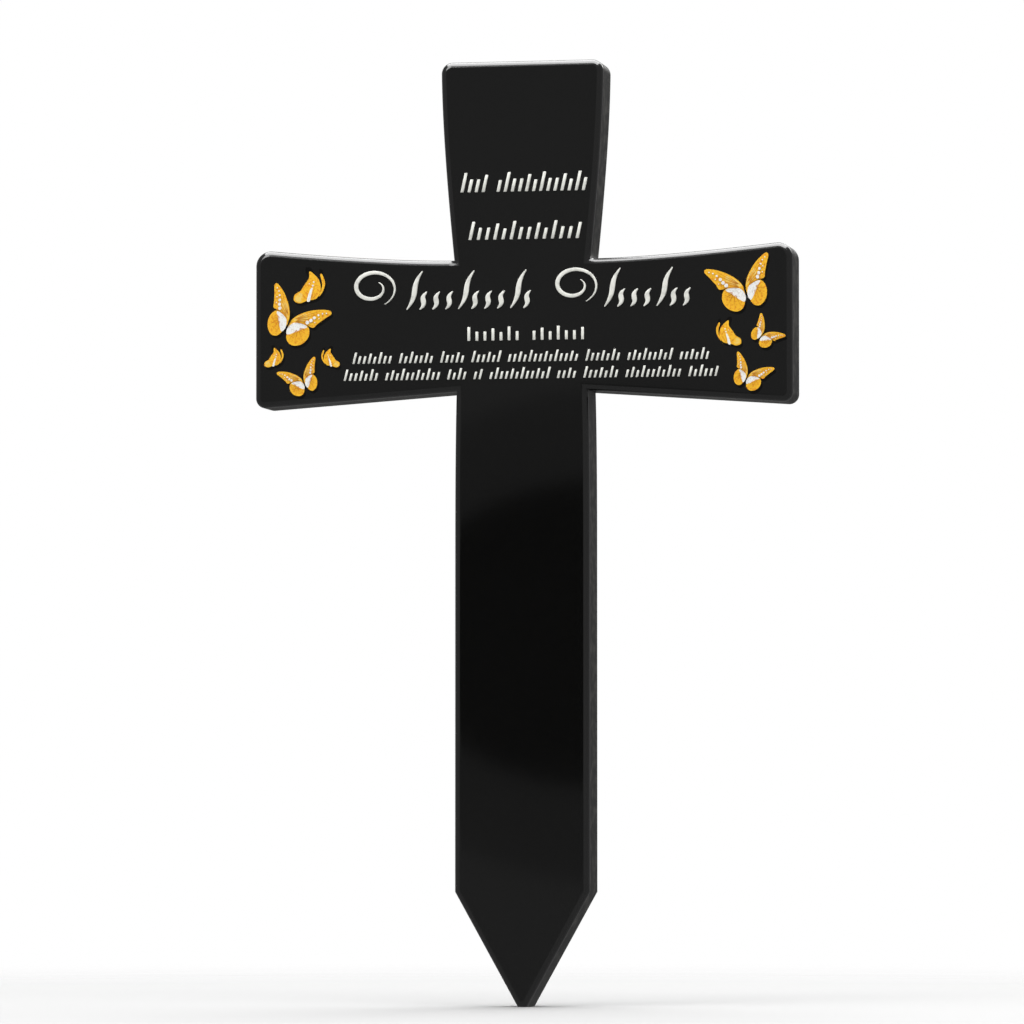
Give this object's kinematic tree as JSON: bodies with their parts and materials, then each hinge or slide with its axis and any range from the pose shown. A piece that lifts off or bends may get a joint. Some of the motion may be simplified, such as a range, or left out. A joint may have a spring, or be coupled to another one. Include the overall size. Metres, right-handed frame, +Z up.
{
  "type": "memorial cross stake",
  "caption": "Thick polished cross-shaped grave plaque with flared arms, raised rows of strokes and a long pointed foot pushed into the ground",
  "frame": {"origin": "middle of the flat tip of the pointed foot, half way through the thickness", "axes": "+Z up along the shaft to the head, +X to the reader's right along the arms, -Y out of the inscribed face"},
  "size_m": [0.1736, 0.0155, 0.3],
  "materials": {
    "polished_black": "polished gloss, with mottled dark grey sides, off-white raised rows and a golden butterfly print"
  },
  "bodies": {
    "root": {"cross_stake": "polished_black"}
  },
  "joints": []
}
